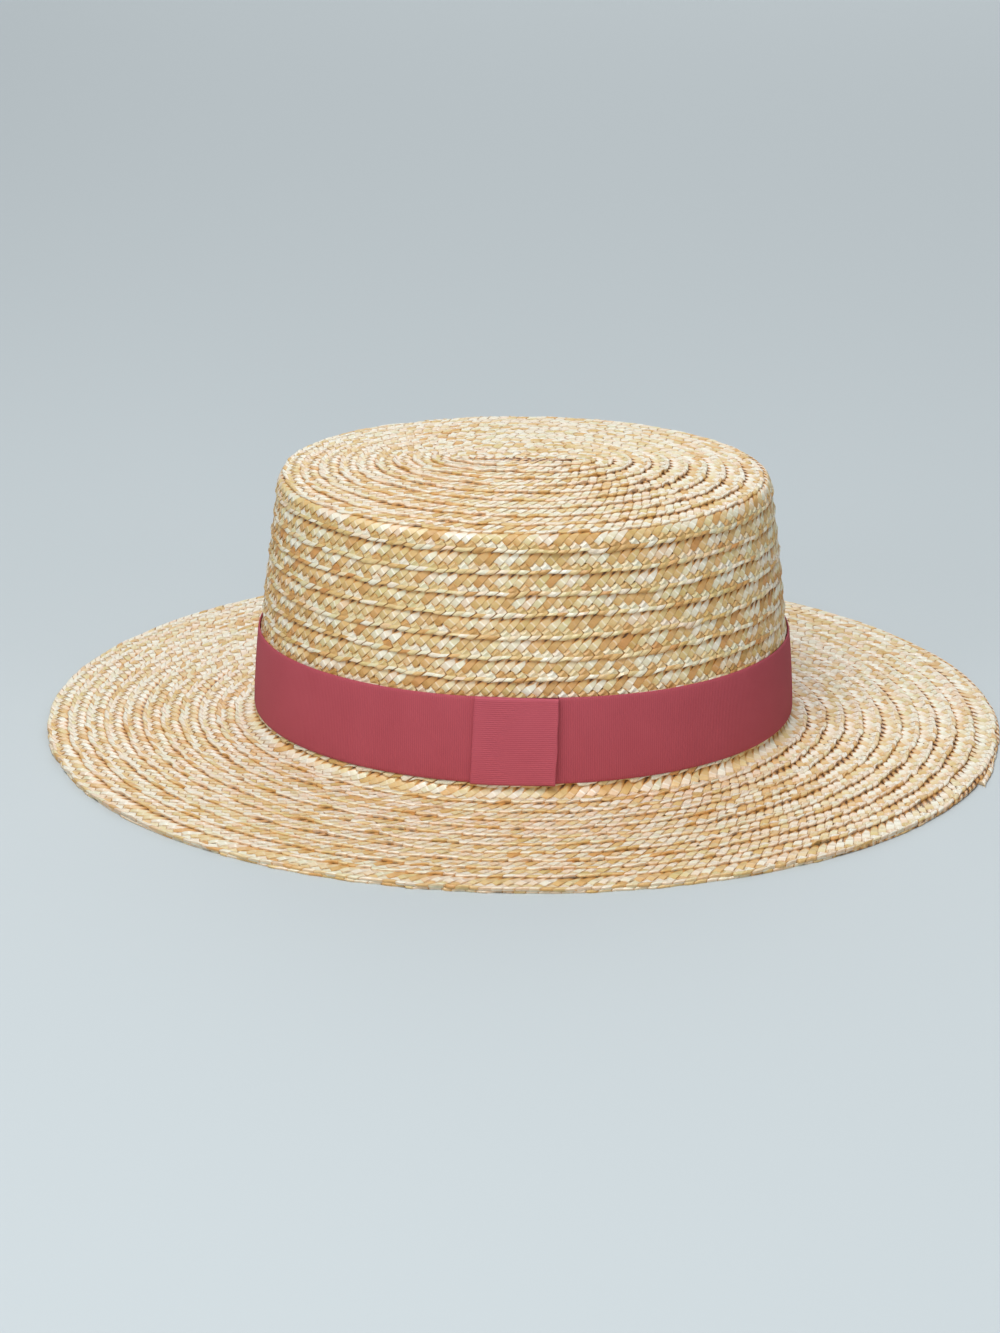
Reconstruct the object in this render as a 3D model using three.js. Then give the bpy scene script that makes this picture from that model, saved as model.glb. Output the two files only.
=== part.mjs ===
// Straw boater hat, millimetres, +Z up, standing on its brim at z = 0.
// X runs along the head, Y across it, and the flat ribbon keeper faces -Y.
// Every outline is an oval: a circle of radius r drawn out along X by ovalStretch at each end.

import * as THREE from 'three';
import { mergeVertices } from 'three/addons/utils/BufferGeometryUtils.js';

// Oval of the head
const ovalStretch = 18.5;
const ovalSides = 48;

// Crown wall and tip
const crownRadius = 82.5;
const crownLean = 8.6;
const crownLeanCurve = 1.4;
const shoulderHeight = 91.2;
const tipRadius = 70.8;
const tipEdgeHeight = 98.6;
const domeRise = 5.2;

// Brim
const brimRadius = 161.5;
const brimLift = 0.6;
const brimCurl = 1.8;
const brimCurlPower = 8;
const joinRadius = 4.5;
const collarHeight = 1.2;

// Straw plait: a row's thickness, the step down to the row that it laps, and the rows' spacing
const plaitThickness = 1.2;
const lapStep = 0.8;
const lapWidth = 1.8;
const brimRowPitch = 6.96;
const tipRowPitch = 6.93;
const wallRowPitch = 7.7;
const brimFirstRow = 8.6;
const shortestRow = 3;

// Second plait row sewn under the brim's edge, with its loose end
const edgeRowThickness = 0.8;
const edgeRowWidth = 9;
const edgeRowInset = 0.3;
const edgeRowSides = 60;
const looseEndAngle = 342;
const looseEndLength = 20;
const looseEndReach = 2.6;

// Ribbon and its folded keeper
const bandHeight = 31.4;
const bandThickness = 0.6;
const bandDrop = 1;
const keeperWidth = 30.6;
const keeperCentre = -1;
const keeperThickness = 1.2;
const keeperOverhang = 0.4;

// Room between pieces that lie against each other
const seatGap = 0.3;

const straw = new THREE.MeshStandardMaterial({ color: 0xd8bd8c, roughness: 0.55, metalness: 0 });
const strawEdge = new THREE.MeshStandardMaterial({ color: 0xcfae78, roughness: 0.6, metalness: 0 });
const ribbon = new THREE.MeshStandardMaterial({ color: 0xa84f59, roughness: 0.8, metalness: 0 });
const ribbonFold = new THREE.MeshStandardMaterial({ color: 0xb15661, roughness: 0.8, metalness: 0 });

const brimEdgeTop = edgeRowThickness + seatGap + plaitThickness;
const brimReach = brimRadius - crownRadius;

// Top of the inner rows' edges, flat outside and curling up to the crown
function brimTop(r) {
  const share = (brimRadius - r) / brimReach;
  return brimEdgeTop + brimLift + brimCurl * share ** brimCurlPower;
}

const joinStart = crownRadius + joinRadius;
const joinTop = brimTop(joinStart) + joinRadius;
const collarTop = joinTop + collarHeight;
const crownFoot = collarTop + seatGap;

// Outside of the wall's row edges, leaning in towards the top
function wallRadius(z) {
  const share = Math.max(z - joinTop, 0) / (shoulderHeight - joinTop);
  return crownRadius - crownLean * share ** crownLeanCurve;
}

function tipHeight(r) {
  return tipEdgeHeight + domeRise * (1 - (r / tipRadius) ** 2);
}

// Lathed ring or cup, stretched to the oval: every vertex moves along X by the cosine of its turn
function ovalLathe(profile) {
  const points = profile.map(([r, z]) => new THREE.Vector2(r, z));
  const lathe = new THREE.LatheGeometry(points, ovalSides);
  lathe.rotateX(Math.PI / 2);
  const position = lathe.attributes.position;
  const uv = lathe.attributes.uv;
  for (let i = 0; i < position.count; i += 1) {
    const turn = uv.getX(i) * 2 * Math.PI;
    const r = Math.hypot(position.getX(i), position.getY(i));
    position.setX(i, (r + ovalStretch) * Math.cos(turn));
    position.setY(i, r * Math.sin(turn));
  }
  return closedMesh(lathe);
}

// Block bent along an oval: place(share along, share out, share up) gives the radius, turn and height
function ovalBlock(alongCount, upCount, place) {
  const block = new THREE.BoxGeometry(1, 1, 1, alongCount, 1, upCount);
  const position = block.attributes.position;
  for (let i = 0; i < position.count; i += 1) {
    const along = position.getX(i) + 0.5;
    const out = 0.5 - position.getY(i);
    const up = position.getZ(i) + 0.5;
    const { r, turn, z } = place(along, out, up);
    position.setXYZ(i, (r + ovalStretch) * Math.cos(turn), r * Math.sin(turn), z);
  }
  return closedMesh(block);
}

function closedMesh(geometry) {
  geometry.deleteAttribute('normal');
  geometry.deleteAttribute('uv');
  const merged = mergeVertices(geometry, 1e-4);
  const index = Array.from(merged.index.array);
  const solid = [];
  for (let i = 0; i < index.length; i += 3) {
    const [a, b, c] = index.slice(i, i + 3);
    if (a !== b && b !== c && c !== a) {
      solid.push(a, b, c);
    }
  }
  merged.setIndex(solid);
  merged.computeVertexNormals();
  return merged;
}

function rowEdges(first, pitch, last) {
  const edges = [];
  for (let edge = first; edge > last; edge -= pitch) {
    edges.push(edge);
  }
  return edges;
}

// Points of an elliptic arc about a centre, from one angle to another in degrees
function arc(centreR, centreZ, radiusR, radiusZ, from, to, count) {
  return Array.from({ length: count + 1 }, (_, i) => {
    const angle = THREE.MathUtils.degToRad(from + ((to - from) * i) / count);
    return [centreR + radiusR * Math.cos(angle), centreZ + radiusZ * Math.sin(angle)];
  });
}

// Crown: tip rows, one round shoulder row and the wall's rows, each lapping the next one out or down
function crownGeometry() {
  const tipEdges = rowEdges(tipRadius, tipRowPitch, shortestRow).reverse();
  const wallEdges = rowEdges(shoulderHeight, wallRowPitch, crownFoot + shortestRow);
  const shoulderRadius = wallRadius(shoulderHeight);
  const shoulderRise = tipHeight(tipRadius) - lapStep - shoulderHeight;
  const shoulderReach = shoulderRadius - tipRadius;

  const outside = [[0, tipHeight(0)]];
  for (const r of tipEdges) {
    outside.push([r, tipHeight(r)], [r, tipHeight(r) - lapStep]);
  }
  outside.push(...arc(tipRadius, shoulderHeight, shoulderReach, shoulderRise, 75, 0, 4));
  for (const z of wallEdges) {
    outside.push([wallRadius(z) - lapStep, z]);
    const next = Math.max(z - wallRowPitch, crownFoot);
    outside.push([wallRadius(next), next]);
  }

  const lining = plaitThickness + lapStep;
  const inside = [[wallRadius(crownFoot) - lining, crownFoot]];
  for (const share of [0.25, 0.5, 0.75, 1]) {
    const z = crownFoot + share * (shoulderHeight - crownFoot);
    inside.push([wallRadius(z) - lining, z]);
  }
  const innerRise = tipHeight(tipRadius) - lining - shoulderHeight;
  inside.push(...arc(tipRadius - lining, shoulderHeight, shoulderReach, innerRise, 30, 90, 2));
  for (const share of [0.67, 0.33, 0]) {
    const r = share * tipRadius;
    inside.push([r, tipHeight(r) - lining]);
  }
  return ovalLathe([...outside, ...inside].reverse());
}

// Brim: rows lapped from the crown outwards, above and below, and a collar that meets the wall
function brimGeometry() {
  const edges = rowEdges(brimRadius - brimFirstRow, brimRowPitch, joinStart + shortestRow);
  const seat = edgeRowThickness + seatGap;
  const above = [[brimRadius, brimEdgeTop]];
  const below = [[brimRadius, seat]];
  for (const r of edges) {
    above.push([r, brimTop(r) - lapStep], [r, brimTop(r)]);
    const under = r - lapWidth;
    const high = brimTop(under) - plaitThickness;
    below.push([under, Math.max(high - lapStep, seat)], [under, high]);
  }
  const joinCentre = brimTop(joinStart) + joinRadius;
  above.push(...arc(joinStart, joinCentre, joinRadius, joinRadius, 270, 180, 3));
  above.push([crownRadius, collarTop]);
  const underRadius = joinRadius + plaitThickness;
  below.push(...arc(joinStart, joinCentre, underRadius, underRadius, 270, 180, 3));
  below.push([crownRadius - plaitThickness, collarTop]);
  return ovalLathe([...above, ...below.reverse(), above[0]]);
}

// Edge row: one turn of plait under the brim's edge, whose end strays outwards
function edgeRowGeometry() {
  const outer = brimRadius - edgeRowInset;
  const start = THREE.MathUtils.degToRad(looseEndAngle);
  const breadth = THREE.MathUtils.degToRad(looseEndLength);
  const gapTurn = seatGap / outer;
  return ovalBlock(edgeRowSides, 1, (along, out, up) => {
    const sweep = along * (2 * Math.PI - gapTurn);
    const stray = Math.max(1 - sweep / breadth, 0);
    return {
      r: outer - edgeRowWidth * (1 - out) + looseEndReach * stray ** 2,
      turn: start + sweep,
      z: up * edgeRowThickness,
    };
  });
}

const bandFoot = joinTop - bandDrop;

function bandGeometry() {
  const inner = [];
  const outer = [];
  for (const share of [0, 0.33, 0.67, 1]) {
    const z = bandFoot + share * bandHeight;
    const r = wallRadius(z) + seatGap;
    inner.push([r, z]);
    outer.push([r + bandThickness, z]);
  }
  return ovalLathe([...outer, ...inner.reverse(), outer[0]]);
}

function keeperGeometry() {
  const seat = 2 * seatGap + bandThickness;
  const foot = bandFoot - keeperOverhang;
  const height = bandHeight + 2 * keeperOverhang;
  return ovalBlock(8, 3, (along, out, up) => {
    const z = foot + up * height;
    const r = wallRadius(z) + seat + out * keeperThickness;
    const x = keeperCentre + (along - 0.5) * keeperWidth;
    return { r, turn: 1.5 * Math.PI + Math.asin(x / (r + ovalStretch)), z };
  });
}

function piece(name, geometry, material) {
  const mesh = new THREE.Mesh(geometry, material);
  mesh.name = name;
  return mesh;
}

const hat = new THREE.Group();
hat.add(
  piece('crown', crownGeometry(), straw),
  piece('brim', brimGeometry(), straw),
  piece('brim_edge_row', edgeRowGeometry(), strawEdge),
  piece('hat_band', bandGeometry(), ribbon),
  piece('band_keeper', keeperGeometry(), ribbonFold),
);

export default hat;
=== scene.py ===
# Straw boater hat: one long straw plait sewn round in a lapped spiral, a grosgrain ribbon and its keeper.
# Lengths are millimetres until a mesh is written; +Z is up, and the keeper faces -Y.

import math

import bpy
import numpy as np
from mathutils import Matrix, Vector


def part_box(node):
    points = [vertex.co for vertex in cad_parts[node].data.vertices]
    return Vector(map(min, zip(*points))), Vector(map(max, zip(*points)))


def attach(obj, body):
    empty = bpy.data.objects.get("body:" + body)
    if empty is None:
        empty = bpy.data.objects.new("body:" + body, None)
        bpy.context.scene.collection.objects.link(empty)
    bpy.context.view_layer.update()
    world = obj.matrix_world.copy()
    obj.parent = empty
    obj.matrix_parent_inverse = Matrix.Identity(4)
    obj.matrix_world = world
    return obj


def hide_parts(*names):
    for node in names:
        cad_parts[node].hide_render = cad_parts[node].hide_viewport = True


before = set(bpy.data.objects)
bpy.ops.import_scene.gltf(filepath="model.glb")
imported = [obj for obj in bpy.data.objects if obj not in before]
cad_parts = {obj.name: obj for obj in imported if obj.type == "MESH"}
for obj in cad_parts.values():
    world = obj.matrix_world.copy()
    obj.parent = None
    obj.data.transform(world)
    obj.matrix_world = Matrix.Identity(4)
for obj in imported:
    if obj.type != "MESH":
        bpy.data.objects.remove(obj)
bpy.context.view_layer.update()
mm = 0.001


def nodeBox(node):
    # low and high corners of a node's box, in millimetres
    low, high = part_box(node)
    return np.array(low) / mm, np.array(high) / mm


crownLow, crownHigh = nodeBox("crown")
brimLow, brimHigh = nodeBox("brim")
edgeLow, edgeHigh = nodeBox("brim_edge_row")
bandLow, bandHigh = nodeBox("hat_band")
keeperLow, keeperHigh = nodeBox("band_keeper")


# Camera

view = {
    "distance": 1369,
    "height": 21.73,
    "sideways": 29.8,
    "pitch": 20.91,
    "yaw": -1.74,
    "roll": 0.24,
    "lens": 97.2,
    "sensor": 36,
}


def addCamera():
    # it stands at a distance and an angle above the hat's foot, and looks along its yaw, pitch and roll
    height, pitch, yaw, roll = (math.radians(view[key]) for key in ("height", "pitch", "yaw", "roll"))
    distance = view["distance"]
    place = Vector((view["sideways"], -distance * math.cos(height), distance * math.sin(height)))
    ahead = Vector((math.sin(yaw) * math.cos(pitch), math.cos(yaw) * math.cos(pitch), -math.sin(pitch)))
    right = ahead.cross(Vector((0, 0, 1))).normalized()
    up = right.cross(ahead)
    rightRolled = right * math.cos(roll) + up * math.sin(roll)
    upRolled = up * math.cos(roll) - right * math.sin(roll)
    data = bpy.data.cameras.new("camera")
    data.lens = view["lens"]
    data.sensor_width = view["sensor"]
    camera = bpy.data.objects.new("camera", data)
    turn = Matrix((rightRolled, upRolled, -ahead)).transposed()
    camera.matrix_world = Matrix.Translation(place * mm) @ turn.to_4x4()
    bpy.context.scene.collection.objects.link(camera)
    bpy.context.scene.camera = camera


addCamera()
print("camera placed")


# Meridian of the hat: radius and height of the rows' crests, from past the tip's centre to the brim's edge

shape = {
    "tipRadius": 70.8,
    "domeRise": 5.2,
    "shoulderHeight": 91.2,
    "lean": 8.6,
    "leanCurve": 1.4,
    "joinRadius": 4.5,
    "brimLift": 0.6,
    "brimCurl": 1.8,
    "brimCurlPower": 8,
    "edgeFall": 8.6,
    "pastCentre": 14,
    "plaitThickness": 1.2,
    "rowGap": 0.3,
}
crownRadius = crownHigh[1]
stretch = crownHigh[0] - crownHigh[1]
brimRadius = brimHigh[1]
tipEdge = crownHigh[2] - shape["domeRise"]
edgeTop = edgeHigh[2] + shape["rowGap"] + shape["plaitThickness"]


def brimTop(r):
    # level, curling up to the crown with a power of the way in, and easing down at its outer edge
    share = (brimRadius - r) / (brimRadius - crownRadius)
    settle = np.clip((brimRadius - r) / shape["edgeFall"], 0, 1)
    lift = shape["brimLift"] * settle * settle * (3 - 2 * settle)
    return edgeTop + lift + shape["brimCurl"] * share ** shape["brimCurlPower"]


joinTop = brimTop(crownRadius + shape["joinRadius"]) + shape["joinRadius"]


def wallRadius(z):
    # leans in with a power of the height above the join
    share = np.clip((z - joinTop) / (shape["shoulderHeight"] - joinTop), 0, None)
    return crownRadius - shape["lean"] * share ** shape["leanCurve"]


def meridian():
    # dome: height falls with the square of the radius; shoulder and join: quarter ellipses
    # wall: radius falls with a power of the height
    r = np.linspace(-shape["pastCentre"], shape["tipRadius"], 120)
    tip = np.stack([r, tipEdge + shape["domeRise"] * (1 - (r / shape["tipRadius"]) ** 2)], 1)
    turn = np.linspace(math.pi / 2, 0, 24)[1:]
    reach = wallRadius(shape["shoulderHeight"]) - shape["tipRadius"]
    rise = tipEdge - shape["shoulderHeight"]
    shoulderR = shape["tipRadius"] + reach * np.cos(turn)
    shoulder = np.stack([shoulderR, shape["shoulderHeight"] + rise * np.sin(turn)], 1)
    z = np.linspace(shape["shoulderHeight"], joinTop, 120)[1:]
    wall = np.stack([wallRadius(z), z], 1)
    turn = np.linspace(math.pi, 1.5 * math.pi, 24)[1:]
    joinRadius = shape["joinRadius"]
    start = crownRadius + joinRadius
    join = np.stack([start + joinRadius * np.cos(turn), joinTop + joinRadius * np.sin(turn)], 1)
    r = np.linspace(start, brimRadius, 120)[1:]
    brim = np.stack([r, brimTop(r)], 1)
    return np.concatenate([tip, shoulder, wall, join, brim])


path = meridian()
pathStep = np.hypot(*np.diff(path, axis=0).T)
pathLength = np.concatenate([[0], np.cumsum(pathStep)])
pathAlong = np.gradient(path, pathLength, axis=0)
pathAlong /= np.hypot(*pathAlong.T)[:, None]
pathOut = np.stack([-pathAlong[:, 1], pathAlong[:, 0]], 1)


def onMeridian(length):
    # radius, height and outward direction at a length along the meridian
    return [np.interp(length, pathLength, column) for column in (*path.T, *pathOut.T)]


def lengthAtRadius(r, outer):
    # length along the meridian where the brim, or else the tip, has this radius
    chosen = (path[:, 1] < joinTop) if outer else (path[:, 1] > tipEdge - 0.01)
    return np.interp(r, path[chosen, 0], pathLength[chosen])


def lengthAtHeight(z):
    # length along the meridian where the wall has this height
    onWall = (path[:, 1] <= shape["shoulderHeight"]) & (path[:, 1] >= joinTop)
    chosen = onWall & (path[:, 0] < crownRadius + 0.1)
    return np.interp(-z, -path[chosen, 1], pathLength[chosen])


# Rows: where the plait's outer edge crosses the front, turn by turn

rows = {
    "tipPitch": 6.93,
    "tipTurns": 10,
    "wallPitch": 7.7,
    "wallTurns": 10,
    "joinTurns": 2,
    "brimPitch": 6.96,
    "brimTurns": 9,
    "edgeRow": 8.6,
    "startTurn": 0.2,
    "endTurn": 33.9,
    "backShift": 0.85,
    "cellGrows": (20, 23),
    "samples": 60000,
}


def rowKnots():
    # turns from the tip's centre, and lengths along the meridian, at which the rows' spacing changes
    tipStart = shape["tipRadius"] - rows["tipPitch"] * rows["tipTurns"]
    wallEnd = shape["shoulderHeight"] - rows["wallPitch"] * rows["wallTurns"]
    brimStart = brimRadius - rows["edgeRow"] - rows["brimPitch"] * rows["brimTurns"]
    turns = np.cumsum([0, rows["tipTurns"], 1, rows["wallTurns"], rows["joinTurns"], rows["brimTurns"], 1])
    lengths = [
        lengthAtRadius(tipStart, False),
        lengthAtRadius(shape["tipRadius"], False),
        lengthAtHeight(shape["shoulderHeight"]),
        lengthAtHeight(wallEnd),
        lengthAtRadius(brimStart, True),
        lengthAtRadius(brimRadius - rows["edgeRow"], True),
        pathLength[-1],
    ]
    return turns, np.array(lengths)


knotTurns, knotLengths = rowKnots()


def turnAt(angle):
    # the angle runs clockwise from the front; most of each row's step happens at the back
    return (angle - rows["backShift"] * np.sin(angle)) / (2 * math.pi)


def edgeAt(turn):
    # the edge's length along the meridian grows evenly from knot to knot
    return np.interp(turn, knotTurns, knotLengths)


def ovalPoint(r, z, angle):
    # a circle drawn out along X by the stretch at each end
    turn = 1.5 * math.pi - angle
    return np.stack(np.broadcast_arrays((r + stretch) * np.cos(turn), r * np.sin(turn), z), -1)


def waves(x, seed, count=9, low=0.5, high=5.0):
    # smooth noise from -1 to 1: a sum of sines with seeded rates and phases
    dice = np.random.default_rng(seed)
    rates = dice.uniform(low, high, count)
    phases = dice.uniform(0, 2 * math.pi, count)
    return sum(np.sin(rate * x + phase) for rate, phase in zip(rates, phases)) / math.sqrt(count)


# Straw plait: floats lean one way over its inner part, turn back at a zigzag and roll over the edge

plait = {
    "cell": 3.9,
    "crownCell": 3.7,
    "brimCell": 4.1,
    "lapDrop": 0.8,
    "selvedge": 1.8,
    "junction": 3.6,
    "middle": 3.5,
    "straightFrom": 8.6,
    "wideFloat": 3.8,
    "leanWide": 1.0,
    "leanShort": 0.95,
    "leanSelvedge": 1.35,
    "relief": 0.3,
    "shortRelief": 0.24,
    "ridge": 0.4,
    "notch": 0.45,
    "scallop": 0.65,
    "groove": 0.24,
    "holeDepth": 0.5,
    "holePlace": 1.65,
    "holeWidth": 0.2,
    "junctionShadeWidth": 0.15,
    "edgeShadeWidth": 0.18,
    "shadeStart": 0.78,
    "underShare": 0.5,
    "inset": 0.045,
    "edgeWander": 0.35,
    "wanderRates": (1.3, 9),
    "edgeKink": 0.2,
    "kinkRates": (15, 70),
    "riseWander": 0.14,
    "riseRates": (2, 40),
    "dice": 8000,  # longer than the plait's row of cells, so that all pieces draw from one table
    "seed": 7,
}
# top of the plait from its outer edge inwards, then its underside back out: place across, rise of the bed
topRows = np.array([
    [0.00, -0.24],
    [0.18, 0.02],
    [0.70, 0.08],
    [1.25, 0.02],
    [1.65, -0.06],
    [2.05, -0.04],
    [2.50, -0.03],
    [3.05, -0.05],
    [3.60, -0.08],
    [4.05, -0.03],
    [4.55, 0.00],
    [5.20, 0.00],
    [5.85, 0.00],
    [6.50, -0.02],
    [7.15, 0.04],
    [7.75, 0.14],
    [9.40, 0.20],
])
underRows = np.array([
    [9.50, -0.60],
    [5.20, -0.88],
    [3.60, -0.80],
    [1.60, -0.94],
    [0.20, -0.90],
])
sevenStrands = np.array([0.1, 0.05, 0.2, 0.62, 0.78, 0.5, 0.7])


def hump(share):
    # an arched float: 0 at both ends, 1 at its middle, and a little under its neighbours beyond the ends
    inside = 1 - (2 * np.clip(share, 0, 1) - 1) ** 2
    return inside - 0.5 * np.clip(share - 1, 0, 0.3) - 0.5 * np.clip(-share, 0, 0.3)


def layPlait(name, cells, angleAt, place, cover, seed):
    # four columns to a cell: a wide float's near side, middle and far side, and the groove beside it
    # past the junction the middle becomes a groove, and the old groove the middle of a short float
    first, last = cells
    inset = plait["inset"]
    dice = np.random.default_rng(seed)
    offsets = dice.normal(0, 1, (8, plait["dice"]))
    group = np.append(np.repeat(np.arange(first, last), 4), last)
    kind = np.append(np.tile(np.arange(4), last - first), 0)
    column = kind[:, None]
    phase = np.array([inset, 0.5, 1 - inset, 1.0])[kind]
    leans = plait["leanWide"] + plait["leanShort"]
    reach = (0.5 - 2 * inset) * plait["cell"] / leans
    bend = np.array([-reach, 0, reach, 0])[column]

    base = np.concatenate([topRows[:, 0], underRows[:, 0]])[None, :]
    bed = np.concatenate([topRows[:, 1], underRows[:, 1]])[None, :]
    under = (np.arange(base.size) >= len(topRows))[None, :]
    junction, selvedge, straight = plait["junction"], plait["selvedge"], plait["straightFrom"]
    outerPart = (base - selvedge) / (junction - selvedge)
    innerPart = (straight - base) / (straight - junction)
    across = base + bend * np.clip(np.where(base < junction, outerPart, innerPart), 0, 1)
    scallop = plait["scallop"] * ((kind == 1) + 0.5 * offsets[5][group + 1] * (kind != 1))
    across = across + scallop[:, None] * np.clip(1 - base / 0.9, 0, 1)
    turning = junction + bend
    wide = base >= junction
    rolled = base < selvedge

    # place along the plait: down one lean to the junction, back along the other, then over the edge
    onShort = plait["leanShort"] * (turning - np.clip(across, selvedge, None))
    shift = np.where(wide, plait["leanWide"] * (across - turning), onShort)
    shift = -plait["leanWide"] * bend - shift
    shift = shift + plait["leanSelvedge"] * np.clip(selvedge - across, 0, None)
    wobble = 0.05 * offsets[0][group + (kind > 1)] * (kind % 2 == 0)
    along = (group + phase + wobble)[:, None] + shift / plait["cell"]

    # height: each float arches along itself, so its crest runs straight across it
    wideStrength = plait["relief"] * np.clip(1 + 0.2 * offsets[1], 0.5, 1.5)
    shortStrength = plait["shortRelief"] * np.clip(1 + 0.25 * offsets[2], 0.4, 1.6)
    wideCrest, shortCrest = 0.16 * offsets[3], 0.12 * offsets[4]
    half = (0.5 - inset) * plait["cell"] / leans

    def wideHeight(number, side):
        middle = across + side * half - junction - wideCrest[number][:, None]
        return wideStrength[number][:, None] * hump(middle / plait["wideFloat"])

    def shortHeight(number, side):
        middle = junction - across + side * half - shortCrest[number][:, None]
        return shortStrength[number][:, None] * hump(middle / (junction - selvedge))

    nextGroup = group + 1
    groove = plait["groove"]
    columns = [column == 0, column == 1, column == 2]
    wideHeights = np.select(
        columns,
        [wideHeight(group, 1), wideHeight(group, 0) + 0.02, wideHeight(group, -1)],
        np.minimum(wideHeight(group, -1), wideHeight(nextGroup, 1)) - groove,
    )
    shortGroove = np.minimum(shortHeight(group, -1), shortHeight(nextGroup, 1)) - groove
    shortHeights = np.select(
        columns,
        [shortHeight(group, -1), shortGroove, shortHeight(nextGroup, 1)],
        shortHeight(nextGroup, 0) + 0.02,
    )
    ridge = plait["ridge"] * np.sin(math.pi * np.clip(across / selvedge, 0, 1)) ** 0.8
    stroke = np.array([0.75, 0.1, 0.75, 1.0])[kind] * (1 + 0.25 * offsets[5][nextGroup])
    ridge = ridge * stroke[:, None] - plait["notch"] * (column == 1)
    relief = np.where(wide, wideHeights, np.where(rolled, ridge, shortHeights))
    isHole = np.exp(-((base - plait["holePlace"]) / plait["holeWidth"]) ** 2) * (column == 1)
    isHole = isHole + np.exp(-((base - junction) / plait["holeWidth"]) ** 2) * (column % 2 == 1) * 0.6
    isHole = np.where(under, 0, isHole)
    relief = np.where(under, -plait["underShare"] * relief, relief - plait["holeDepth"] * isHole)
    height = bed - plait["relief"] + relief
    angle = angleAt(along)
    height = height + plait["riseWander"] * waves(angle, seed + 3, 12, *plait["riseRates"])
    depth = cover(angle, across)
    points = place(angle, across, height - plait["lapDrop"] * depth)

    # painted shade in creases and holes, along the row's outer edge and at the junction; the part that the
    # next row in shades, and how far the row faces up
    tucked = np.clip((depth - plait["shadeStart"]) / (1 - plait["shadeStart"]), 0, 1)
    creaseShade = isHole * np.clip(0.7 + 0.4 * offsets[5][group], 0.1, 1.2)[:, None]
    creaseShade = creaseShade + (0.35 + 0.6 * (column == 1)) * np.clip(1 - base / plait["edgeShadeWidth"], 0, 1)
    creaseShade = np.clip(creaseShade + 0.1 * np.exp(-((base - junction) / plait["junctionShadeWidth"]) ** 2), 0, 1)
    # how far the row faces up sets a painted sheen: paler, pinker straw with fainter slits
    sheenFacingUp = place(angle, across, 1.0)[..., 2] - place(angle, across, 0.0)[..., 2]

    # faces take their strand's colour, a place across it for the fibres, and a place along it for its fold:
    # 0 to 1 past 10 on a wide float, past 20 on a short one and past 30 on the roll
    floats = np.arange(first, last)[:, None]
    wideNumber = (floats + np.array([0, 0, 0, 1])).reshape(-1, 1)
    shortNumber = (floats + np.array([0, 1, 1, 1])).reshape(-1, 1)
    wideFace = wide[0] & np.roll(wide[0], -1)
    rolledFace = rolled[0] & np.roll(rolled[0], -1)
    number = np.where(wideFace, wideNumber, np.where(rolledFace, shortNumber + 5, shortNumber + 3))
    drift = np.round(2.2 * waves(number / 60, seed + 5, 6, 0.4, 2)).astype(int)
    spread = np.where(rolledFace, 0.34, 0.16)
    tone = sevenStrands[(number + drift) % 7] + spread * offsets[6][number] - 0.1 * rolledFace
    tone = np.clip(tone + 0.1 * waves(number / 14, seed + 9, 8, 0.5, 3), 0, 1)
    tint = np.clip(0.5 + 0.22 * offsets[7][number], 0, 1)
    lengthwise = (group + phase)[:, None] + 0 * across
    turned = lengthwise - leans * bend / plait["cell"] + 0.5
    sideWide = np.array([half, 0, -half, 0])[column]
    alongWide = (across + sideWide - junction - wideCrest[group][:, None]) / plait["wideFloat"]
    alongShort = (junction - across - sideWide) / (junction - selvedge)
    choice = np.where(wideFace, 0, np.where(rolledFace, 2, 1))
    layouts = [(lengthwise, 10 + alongWide), (turned, 20 + alongShort), (turned, 30 + across / selvedge)]
    pointValues = {"creaseShade": creaseShade, "tucked": tucked, "sheenFacingUp": sheenFacingUp}
    faceValues = {"tone": tone, "tint": tint}
    floatSides = kind % 2 == 0
    return gridObject(name, points, (choice, layouts), pointValues, faceValues, sharpColumns=floatSides)


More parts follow.
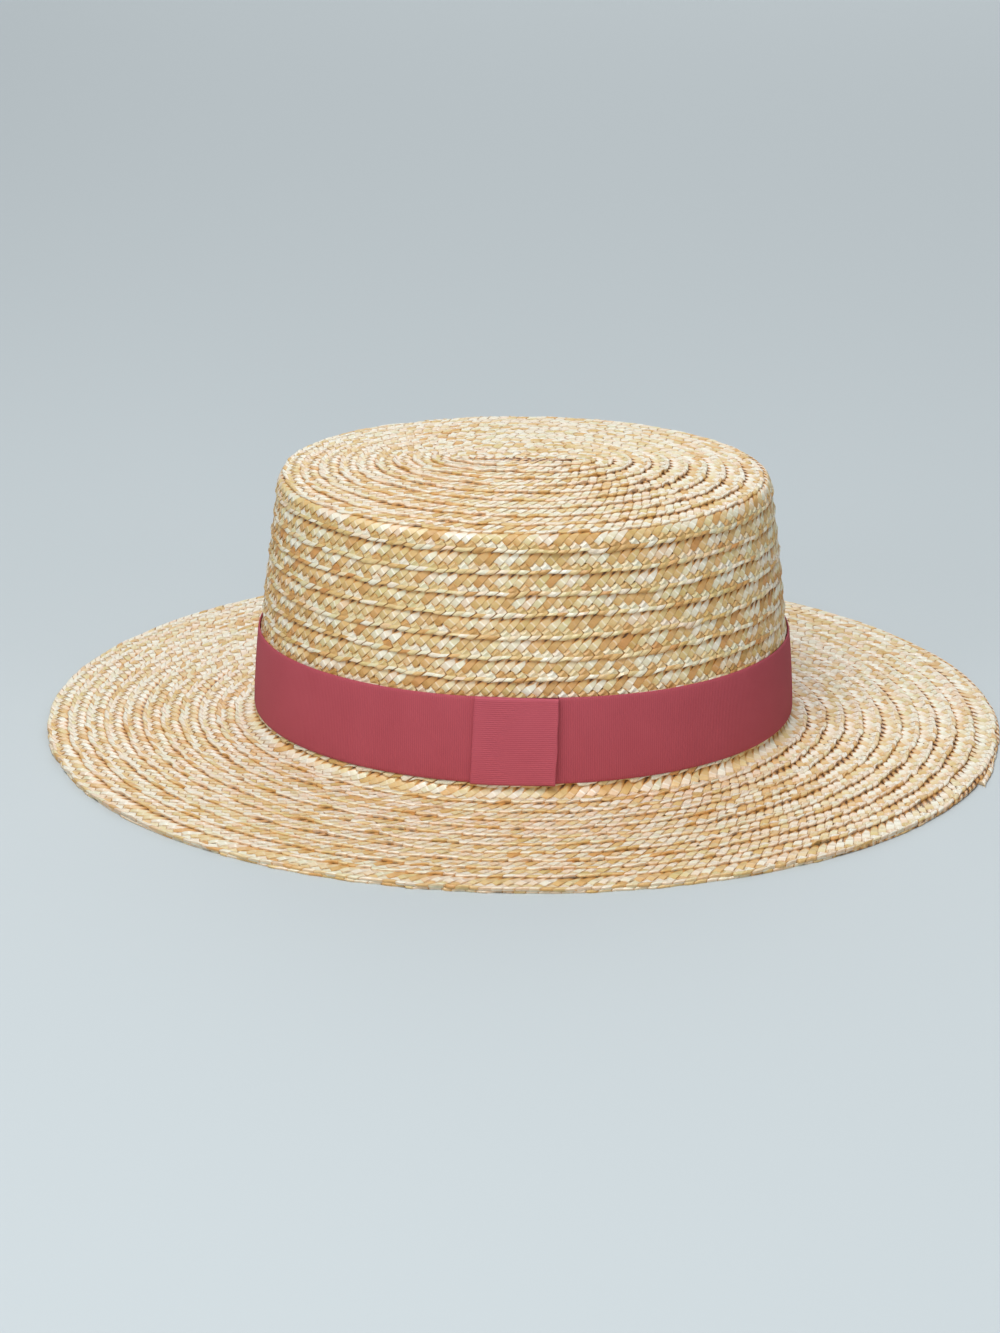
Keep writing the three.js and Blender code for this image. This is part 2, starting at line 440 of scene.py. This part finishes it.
def gridObject(name, points, uv, pointValues=None, faceValues=None, closedAlong=False, sharpColumns=None):
    # the grid's rows close round the section; its ends are capped unless its columns close too
    columns, around = points.shape[:2]
    index = np.arange(columns * around).reshape(columns, around)
    here = index if closedAlong else index[:-1]
    ahead = np.roll(index, -1, 0) if closedAlong else index[1:]
    quads = np.stack([here, ahead, np.roll(ahead, -1, 1), np.roll(here, -1, 1)], -1).reshape(-1, 4)
    faceRow = np.tile(np.arange(around), len(here))
    corners = points.reshape(-1, 3)[quads]
    side = np.cross(corners[:, 2] - corners[:, 0], corners[:, 3] - corners[:, 1])
    outwards = (corners.mean(1) * side).sum() > 0
    caps = [] if closedAlong else [index[0], index[-1][::-1]]
    if not outwards:
        quads = quads[:, ::-1]
        caps = [cap[::-1] for cap in caps]
    loops = np.concatenate([quads.reshape(-1), *caps]).astype(np.int32)
    starts = np.concatenate([np.arange(len(quads)) * 4, len(quads) * 4 + np.arange(len(caps)) * around])
    mesh = bpy.data.meshes.new(name)
    mesh.vertices.add(columns * around)
    mesh.vertices.foreach_set("co", (points.reshape(-1) * mm).astype(np.float32))
    mesh.loops.add(len(loops))
    mesh.loops.foreach_set("vertex_index", loops)
    mesh.polygons.add(len(starts))
    mesh.polygons.foreach_set("loop_start", starts.astype(np.int32))
    mesh.update(calc_edges=True)
    mesh.polygons.foreach_set("use_smooth", np.ones(len(starts), bool))

    def perPoint(values):
        return np.broadcast_to(values, (columns, around)).reshape(-1)

    # each row of faces picks one of the UV layouts
    choice, layouts = uv
    picked = np.repeat(choice[faceRow], 4)
    picked = np.concatenate([picked, np.zeros(around * len(caps), int)])
    flat = np.array([[perPoint(part) for part in pair] for pair in layouts])
    corner = flat[picked, :, loops].reshape(-1)
    mesh.uv_layers.new(name="plait").data.foreach_set("uv", corner.astype(np.float32))
    for key, values in (pointValues or {}).items():
        layer = mesh.attributes.new(key, "FLOAT", "POINT")
        layer.data.foreach_set("value", perPoint(values).astype(np.float32))
    for key, values in (faceValues or {}).items():
        full = np.concatenate([values.reshape(-1), np.full(len(caps), 0.5)])
        mesh.attributes.new(key, "FLOAT", "FACE").data.foreach_set("value", full.astype(np.float32))
    if sharpColumns is not None:
        ends = np.empty(len(mesh.edges) * 2, np.int32)
        mesh.edges.foreach_get("vertices", ends)
        column = ends.reshape(-1, 2) // around
        sharp = (column[:, 0] == column[:, 1]) & sharpColumns[column[:, 0]]
        mesh.attributes.new("sharp_edge", "BOOLEAN", "EDGE").data.foreach_set("value", sharp)
    thing = bpy.data.objects.new(name, mesh)
    bpy.context.scene.collection.objects.link(thing)
    return thing


def dress(thing, node):
    # a piece of the hat's one rigid body, shown in place of a plain solid
    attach(thing, "root")
    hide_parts(node)
    return thing


# Spiral of the whole hat, measured once so that cells run on from piece to piece

spiralAngle = np.linspace(2 * math.pi * rows["startTurn"], 2 * math.pi * rows["endTurn"], rows["samples"])


def spiralPlace(angle, across, height):
    # the edge wanders a little along the meridian; across goes back along it, and the height straight out
    wander = plait["edgeWander"] * waves(angle, plait["seed"], 10, *plait["wanderRates"])
    kink = plait["edgeKink"] * waves(angle, plait["seed"] + 1, 10, *plait["kinkRates"])
    r, z, outR, outZ = onMeridian(edgeAt(turnAt(angle)) + wander + kink - across)
    return ovalPoint(r + outR * height, z + outZ * height, angle)


def spiralCover(angle, across):
    # how deep a strand lies: 0 at its row's outer edge, 1 where the next row in laps over it
    turn = turnAt(angle)
    seen = np.clip(edgeAt(turn) - edgeAt(turn - 1), 0.5, None)
    covered = np.clip(1 - seen / rows["brimPitch"], 0, 1)
    return covered + (1 - covered) * np.clip(across / seen, 0, 1.05)


middleLine = spiralPlace(spiralAngle, plait["middle"], 0)
spiralStep = np.linalg.norm(np.diff(middleLine, axis=0), axis=1)
cellLength = np.interp(turnAt(spiralAngle[1:]), rows["cellGrows"], [plait["crownCell"], plait["brimCell"]])
spiralCells = np.concatenate([[0], np.cumsum(spiralStep / cellLength)])


def spiralAngleAt(cell):
    # cells are counted along the plait's middle line
    return np.interp(cell, spiralCells, spiralAngle)


def cellAtTurn(turn):
    return int(np.interp(2 * math.pi * turn, spiralAngle, spiralCells))


pieces = {
    "strawTip": (rows["startTurn"], 10.5, "crown"),
    "strawWallUpper": (10.5, 16.5, "crown"),
    "strawWallLower": (16.5, 22.0, "crown"),
    "strawBrimInner": (22.0, 26.5, "brim"),
    "strawBrimMiddle": (26.5, 30.5, "brim"),
    "strawBrimOuter": (30.5, rows["endTurn"], "brim"),
}
strawPieces = []
for name, (fromTurn, toTurn, node) in pieces.items():
    # the spiral's own ends stay inside the line that the cells are counted on
    firstCell = cellAtTurn(fromTurn) + (name == "strawTip")
    lastCell = cellAtTurn(toTurn) - 3 * (name == "strawBrimOuter")
    strip = layPlait(name, (firstCell, lastCell), spiralAngleAt, spiralPlace, spiralCover, plait["seed"])
    strawPieces.append(dress(strip, node))
    print(name, "laid,", len(strip.data.polygons), "faces")


# Second row under the brim's edge, with its loose end

edgeRow = {
    "endAngle": 294,
    "strayLength": 18,
    "stray": 3.6,
    "rise": 0.35,
    "samples": 4000,
    "seed": 31,
}
edgeRadius = edgeHigh[1]


def edgeRowPlace(angle, across, height):
    # a flat oval inside the brim's edge, whose last stretch strays out with the square of the way along it
    fromEnd = math.radians(edgeRow["endAngle"]) - angle
    stray = np.clip(1 - fromEnd / math.radians(edgeRow["strayLength"]), 0, 1)
    r = edgeRadius - across + edgeRow["stray"] * stray ** 2
    z = np.clip(edgeHigh[2] + edgeRow["rise"] + height, edgeLow[2], None)
    return ovalPoint(r, z, angle)


def edgeRowCover(angle, across):
    # nothing laps over it
    return 0 * angle * across


def addEdgeRow():
    # one turn of plait, its cells counted along its middle line
    end = math.radians(edgeRow["endAngle"])
    angles = np.linspace(end - 2 * math.pi, end, edgeRow["samples"])
    line = edgeRowPlace(angles, plait["middle"], 0)
    steps = np.linalg.norm(np.diff(line, axis=0), axis=1)
    along = np.concatenate([[0], np.cumsum(steps / plait["brimCell"])])
    cells = (3, int(along[-1]) - 2)

    def angleAt(cell):
        return np.interp(cell, along, angles)

    strip = layPlait("strawEdgeRow", cells, angleAt, edgeRowPlace, edgeRowCover, edgeRow["seed"])
    return dress(strip, "brim_edge_row")


strawPieces.append(addEdgeRow())
print("edge row laid")


# Ribbon

ribbonSizes = {
    "thickness": 0.6,
    "gap": 0.3,
    "ribPitch": 0.72,
    "ribDepth": 0.08,
    "ripple": 0.3,
    "topRise": 0.8,
    "keeperDepth": 0.85,
    "keeperLean": 1.4,
}
# band's section from its foot up the outside and down behind: share of its height, share of its thickness
bandSection = np.array([
    [0.000, 0.5],
    [0.012, 0.9],
    [0.050, 1.0],
    [0.250, 1.0],
    [0.500, 1.0],
    [0.750, 1.0],
    [0.950, 1.0],
    [0.988, 0.9],
    [1.000, 0.5],
    [0.990, 0.0],
    [0.500, 0.0],
    [0.010, 0.0],
])
# keeper's section from left to right and back behind: share of its width, share of its depth, 1 on its face
keeperSection = np.array([
    [0.000, 0.30, 1],
    [0.006, 0.75, 1],
    [0.030, 1.00, 1],
    [0.100, 1.05, 1],
    [0.250, 1.02, 1],
    [0.500, 1.00, 1],
    [0.750, 1.05, 1],
    [0.880, 1.30, 1],
    [0.950, 1.70, 1],
    [0.980, 2.10, 1],
    [0.995, 2.20, 1],
    [1.000, 1.90, 1],
    [0.990, 1.10, 0],
    [0.900, 0.25, 0],
    [0.500, 0.00, 0],
    [0.020, 0.00, 0],
])


def addBand():
    # ring: an outer face with one rib to every second column, thin rolled edges and a plain inner face
    foot, height = bandLow[2], bandHigh[2] - bandLow[2]
    ribCount = int(2 * math.pi * (crownRadius + stretch / 2) / ribbonSizes["ribPitch"])
    angle = np.linspace(0, 2 * math.pi, 2 * ribCount, endpoint=False)[:, None]
    rib = np.tile([0.0, 1.0], ribCount)[:, None]
    up, out = bandSection.T
    z = foot + up * height + 0 * angle
    ripple = ribbonSizes["ripple"] * (np.sin(3 * angle + 1) * 0.5 + np.sin(7 * angle + 2) * 0.3)
    z = z + ripple * (up - 0.2) + ribbonSizes["topRise"] * up * np.clip(np.cos(angle), 0, 1) ** 2
    r = wallRadius(z) + ribbonSizes["gap"] + ribbonSizes["thickness"] * out
    r = r + ribbonSizes["ribDepth"] * rib * (out > 0.95)
    points = ovalPoint(r, z, angle)
    u = np.arange(2 * ribCount)[:, None] / 2 + 0 * up
    v = up * height + 0 * u
    uv = (np.zeros(len(up), int), [(u, v)])
    return dress(gridObject("ribbonBand", points, uv, closedAlong=True), "hat_band")


def addKeeper():
    # patch over the band's seam: it turns over the band's top and bottom, lies flat on the left
    # and lifts on the right; its ribs run across it
    foot, height = keeperLow[2], keeperHigh[2] - keeperLow[2]
    width, centre = keeperHigh[0] - keeperLow[0], (keeperHigh[0] + keeperLow[0]) / 2
    ribCount = int(height / ribbonSizes["ribPitch"])
    up = np.linspace(0, 1, 2 * ribCount + 1)[:, None]
    rib = (np.arange(2 * ribCount + 1) % 2)[:, None]
    side, depth, isFace = keeperSection.T
    fold = 1 - np.clip((np.abs(up - 0.5) * 2 - 0.94) / 0.06, 0, 1) ** 2 * 0.75
    z = foot + height * up + 0 * side
    z = z + 0.25 * (side - 0.5) * np.sin(math.pi * up) + ribbonSizes["topRise"] * up
    r = wallRadius(z) + 2 * ribbonSizes["gap"] + ribbonSizes["thickness"]
    r = r + depth * ribbonSizes["keeperDepth"] * np.where(isFace > 0, fold, 1)
    r = r + ribbonSizes["ribDepth"] * rib * isFace
    kinks = 0.25 * np.sin(up * 5) + 0.14 * np.sin(up * 17 + 1)
    x = centre + (side - 0.5) * width + ribbonSizes["keeperLean"] * (up - 0.5) + kinks * (side - 0.2)
    angle = -np.arcsin(x / (r + stretch))
    points = ovalPoint(r, z, angle)
    u = np.arange(2 * ribCount + 1)[:, None] / 2 + 0 * side
    v = side * width + 0 * u
    uv = (np.zeros(len(side), int), [(u, v)])
    return dress(gridObject("ribbonKeeper", points, uv), "band_keeper")


band = addBand()
keeper = addKeeper()
print("ribbon wound")


# Materials

def srgb(red, green, blue):
    # screen colour, 0 to 255, as the linear colour that shaders use
    share = np.array([red, green, blue]) / 255
    linear = np.where(share <= 0.04045, share / 12.92, ((share + 0.055) / 1.055) ** 2.4)
    return (*linear, 1)


class Wire:
    # a shader value; sums and products of it add Math nodes
    def __init__(self, shader, socket):
        self.shader = shader
        self.socket = socket

    def maths(self, operation, *values):
        return self.shader.node("ShaderNodeMath", {"operation": operation}, dict(enumerate(values)))

    def __add__(self, other):
        return self.maths("ADD", self, other)

    def __sub__(self, other):
        return self.maths("SUBTRACT", self, other)

    def __rsub__(self, other):
        return self.maths("SUBTRACT", other, self)

    def __mul__(self, other):
        return self.maths("MULTIPLY", self, other)

    __radd__ = __add__
    __rmul__ = __mul__


class Shader:
    def __init__(self, name):
        self.material = bpy.data.materials.new(name)
        self.material.use_nodes = True
        self.tree = self.material.node_tree
        self.surface = self.tree.nodes["Principled BSDF"]

    def node(self, kind, settings=None, sockets=None, output=0):
        made = self.tree.nodes.new(kind)
        for key, value in (settings or {}).items():
            setattr(made, key, value)
        for key, value in (sockets or {}).items():
            self.plug(self.find(made.inputs, key), value)
        return Wire(self, self.find(made.outputs, output))

    def find(self, sockets, key):
        # a socket by its number, or the enabled one of that name
        if isinstance(key, int):
            return sockets[key]
        return next(socket for socket in sockets if socket.name == key and socket.enabled)

    def plug(self, socket, value):
        if isinstance(value, Wire):
            self.tree.links.new(value.socket, socket)
        else:
            socket.default_value = value

    def ramp(self, factor, stops):
        made = self.node("ShaderNodeValToRGB", None, {"Fac": factor}, "Color")
        elements = made.socket.node.color_ramp.elements
        while len(elements) < len(stops):
            elements.new(0.5)
        for element, (place, colour) in zip(elements, stops):
            element.position = place
            element.color = colour
        return made

    def mix(self, factor, first, second, blend="MIX"):
        settings = {"data_type": "RGBA", "blend_type": blend}
        return self.node("ShaderNodeMix", settings, {"Factor": factor, "A": first, "B": second}, "Result")

    def clamp(self, value):
        return self.node("ShaderNodeClamp", None, {"Value": value}, "Result")

    def noise(self, vector, scale, detail=2.0, roughness=0.5):
        sockets = {"Vector": vector, "Scale": scale, "Detail": detail, "Roughness": roughness}
        return self.node("ShaderNodeTexNoise", None, sockets, "Fac")

    def scaled(self, vector, factors):
        sockets = {0: vector, 1: factors}
        return self.node("ShaderNodeVectorMath", {"operation": "MULTIPLY"}, sockets, "Vector")

    def attribute(self, name):
        return self.node("ShaderNodeAttribute", {"attribute_name": name}, None, "Fac")

    def axis(self, vector, name):
        return self.node("ShaderNodeSeparateXYZ", None, {"Vector": vector}, name)

    def bump(self, height, strength, distance, **below):
        sockets = {"Strength": strength, "Distance": distance, "Height": height, **below}
        return self.node("ShaderNodeBump", None, sockets, "Normal")

    def finish(self, colour, roughness, bump, **constants):
        self.plug(self.surface.inputs["Base Color"], colour)
        self.plug(self.surface.inputs["Roughness"], roughness)
        self.plug(self.surface.inputs["Normal"], bump)
        for key, value in constants.items():
            self.surface.inputs[key.replace("_", " ")].default_value = value
        return self.material


strawLook = {
    "silver": srgb(238, 232, 212),
    "cream": srgb(228, 208, 156),
    "honey": srgb(217, 180, 114),
    "ochre": srgb(202, 153, 86),
    "green": srgb(228, 226, 176),
    "pink": srgb(252, 214, 188),
    "plain": srgb(255, 255, 255),
    "shine": srgb(255, 252, 240),
    # painted shade: ochre-brown in creases, slits and lap lines, dark brown deep in holes and slits
    "creaseShade": srgb(204, 142, 62),
    "holeShade": srgb(92, 54, 20),
    "fibres": (26.0, 2.6, 1.0),
    "fibreShade": 0.22,
    "blotch": 0.5,
    "cloud": 0.2,
    "darker": 0.06,
    # painted sheen on straw that faces up: paler and pinker
    "sheenAbove": 0.4,
    "cast": 0.6,
    "pinkSheenAbove": 0.14,
    # painted highlight along each float's fold
    "glint": 0.9,
    "glintWidth": 6.0,
    "slitWidth": 0.16,
    # painted shade teeth under each lap: slope, reach on upward faces, strength
    "toothShadeSlope": 3.0,
    "toothShadeReach": 0.12,
    "toothShade": 0.9,
    "roughness": 0.34,
    "specular": 0.8,
    "fold": 0.9,
    "foldDepth": 0.0004,
    "fibreBump": 0.5,
    "fibreDepth": 0.0001,
}


def strawMaterial():
    shader = Shader("straw")
    tone, tint, creaseShade, tucked = (shader.attribute(name) for name in ("tone", "tint", "creaseShade", "tucked"))
    sheenFacingUp = shader.clamp(shader.attribute("sheenFacingUp"))
    cell = shader.node("ShaderNodeUVMap", {"uv_map": "plait"}, None, "UV")
    place = shader.node("ShaderNodeTexCoord", None, None, "Object")

    # the UV's tens tell the kind of float and the rest the share along it; its other axis counts floats
    lengthwise = shader.axis(cell, "Y")
    layout = lengthwise.maths("SNAP", lengthwise + 5.0, 10.0)
    share = lengthwise - layout
    isStroke = layout.maths("GREATER_THAN", layout, 25.0)
    fromFold = share.maths("ABSOLUTE", share * 2.0 - 1.0)
    crosswise = shader.axis(cell, "X")
    fromMiddle = share.maths("ABSOLUTE", crosswise.maths("FRACT", crosswise) * 2.0 - 1.0)
    slit = shader.clamp((fromMiddle - 1 + strawLook["slitWidth"]) * (1 / strawLook["slitWidth"]))
    roof = shader.clamp(1 - fromFold) * (1 - isStroke) - slit * slit * 0.35 - fromMiddle * isStroke * 0.8
    glint = shader.clamp(1 - fromFold * strawLook["glintWidth"]) * (1 - isStroke)

    # each float's own shade, its fibres and a greenish or pinkish cast; straw that faces up is painted
    # paler and pinker, a painted sheen of the light from above
    fibre = shader.noise(shader.scaled(cell, strawLook["fibres"]), 1.0, 3.0, 0.6)
    blotch = shader.noise(place, 160.0, 3.0)
    cloud = shader.noise(place, 18.0, 2.0)
    shade = tone + (blotch - 0.5) * strawLook["blotch"] + (cloud - 0.5) * strawLook["cloud"]
    shade = shade + strawLook["darker"] - sheenFacingUp * strawLook["sheenAbove"]
    places = {"silver": 0.0, "cream": 0.35, "honey": 0.68, "ochre": 1.0}
    straw = shader.ramp(shade, [(stop, strawLook[name]) for name, stop in places.items()])
    streak = 1 - (fibre * 1.6 - 0.5) * strawLook["fibreShade"]
    grey = shader.node("ShaderNodeCombineColor", None, {0: streak, 1: streak, 2: streak}, "Color")
    straw = shader.mix(1.0, straw, grey, "MULTIPLY")
    casts = [(0.0, strawLook["green"]), (0.5, strawLook["plain"]), (1.0, strawLook["pink"])]
    cast = shader.ramp(tint + sheenFacingUp * strawLook["pinkSheenAbove"], casts)
    straw = shader.mix(strawLook["cast"], straw, cast, "MULTIPLY")
    # painted highlight: a near-white glint line along the fold of each pale float
    straw = shader.mix(glint * shader.clamp(0.9 - tone) * strawLook["glint"], straw, strawLook["shine"])

    # painted shade: brown slits beside the floats, teeth where the next row laps over, then creases and
    # holes
    # painted shade in the slits between floats, dark brown deep inside them
    slitShade = slit * (0.5 + isStroke * 0.4 - sheenFacingUp * 0.34)
    slitDeepShade = shader.clamp(slit * 2.0 - 1) * shader.clamp(0.32 + isStroke * 0.4 - sheenFacingUp * 0.3)
    # painted shade: teeth where the next row laps over, brown then dark brown
    toothShade = (tucked + fromMiddle - 1.0 + sheenFacingUp * strawLook["toothShadeReach"]) * strawLook["toothShadeSlope"]
    paintedShades = [
        (slitShade, "creaseShade"),
        (slitDeepShade, "holeShade"),
        (shader.clamp(toothShade) * strawLook["toothShade"], "creaseShade"),
        (shader.clamp(toothShade - 1.4) * strawLook["toothShade"], "holeShade"),
        (shader.clamp(creaseShade * 1.5), "creaseShade"),
        (shader.clamp((creaseShade - 0.5) * 2.0), "holeShade"),
    ]
    for amount, name in paintedShades:
        straw = shader.mix(amount, straw, strawLook[name])
    roughness = strawLook["roughness"] + tone * 0.14 + creaseShade * 0.3 + (fibre - 0.5) * 0.15 - glint * 0.1
    fold = shader.bump(roof, strawLook["fold"], strawLook["foldDepth"])
    bump = shader.bump(fibre, strawLook["fibreBump"], strawLook["fibreDepth"], Normal=fold)
    return shader.finish(straw, roughness, bump, Specular_IOR_Level=strawLook["specular"])


ribbonLook = {
    "ribbonBand": (srgb(186, 84, 97), srgb(150, 55, 66)),
    "ribbonKeeper": (srgb(194, 91, 106), srgb(160, 63, 76)),
    "weave": (4.0, 7.0, 1.0),
    "roughness": 0.72,
    "specular": 0.35,
    "ribBump": 0.6,
    "bumpDepth": 0.0001,
}


def ribbonMaterial(name):
    thread, shade = ribbonLook[name]
    shader = Shader(name)
    cell = shader.node("ShaderNodeUVMap", {"uv_map": "plait"}, None, "UV")
    place = shader.node("ShaderNodeTexCoord", None, None, "Object")
    weave = shader.noise(shader.scaled(cell, ribbonLook["weave"]), 1.0, 2.0, 0.7)
    cloud = shader.noise(place, 60.0, 2.0)
    count = shader.axis(cell, "X")
    rib = count.maths("SINE", count * (2 * math.pi)) * 0.5 + 0.5
    # the rib term paints one flank of each rib lighter and the other darker, painted light and shade; weave
    # and cloud vary the thread's own colour
    tint = weave * 0.9 + rib * 0.3 + cloud * 0.3 - 0.25
    colour = shader.mix(tint, shade, thread)
    roughness = ribbonLook["roughness"] + (weave - 0.5) * 0.2
    bump = shader.bump(rib + weave * 0.6, ribbonLook["ribBump"], ribbonLook["bumpDepth"])
    return shader.finish(colour, roughness, bump, Specular_IOR_Level=ribbonLook["specular"])


straw = strawMaterial()
for strip in strawPieces:
    strip.data.materials.append(straw)
for cloth in (band, keeper):
    cloth.data.materials.append(ribbonMaterial(cloth.name))
print("materials set")


# Floor and light

studio = {
    "floor": srgb(191, 199, 202),
    "floorReach": 4,
    "floorRoughness": 0.8,
    "world": srgb(205, 214, 220),
    "worldStrength": 0.37,
    "aim": (0, 0, 0.05),
    "lights": {
        "key": ((-1.5, -1.5, 0.9), 0.8, 5.5),
        "front": ((0.15, -2.1, 0.45), 0.5, 5),
        "fill": ((1.6, -1.2, 0.8), 0.7, 3.5),
        "back": ((0.2, 2.2, 1.3), 2.2, 22),
        "top": ((-0.3, -0.8, 1.7), 1.0, 28),
    },
}


def addFloor():
    mesh = bpy.data.meshes.new("floor")
    reach = studio["floorReach"]
    corners = [(-reach, -reach, 0), (reach, -reach, 0), (reach, reach, 0), (-reach, reach, 0)]
    mesh.from_pydata(corners, [], [(0, 1, 2, 3)])
    floor = bpy.data.objects.new("floor", mesh)
    bpy.context.scene.collection.objects.link(floor)
    shader = Shader("floor")
    shader.surface.inputs["Base Color"].default_value = studio["floor"]
    shader.surface.inputs["Roughness"].default_value = studio["floorRoughness"]
    mesh.materials.append(shader.material)


def addLight(name, place, size, power):
    data = bpy.data.lights.new(name, "AREA")
    data.size = size
    data.energy = power
    light = bpy.data.objects.new(name, data)
    light.location = place
    aim = Vector(studio["aim"]) - Vector(place)
    light.rotation_euler = aim.to_track_quat("-Z", "Y").to_euler()
    bpy.context.scene.collection.objects.link(light)


addFloor()
for name, (place, size, power) in studio["lights"].items():
    addLight(name, place, size, power)
world = bpy.data.worlds.new("studio")
world.use_nodes = True
world.node_tree.nodes["Background"].inputs["Color"].default_value = studio["world"]
world.node_tree.nodes["Background"].inputs["Strength"].default_value = studio["worldStrength"]
bpy.context.scene.world = world
bpy.context.scene.view_settings.view_transform = "Standard"
print("studio set")
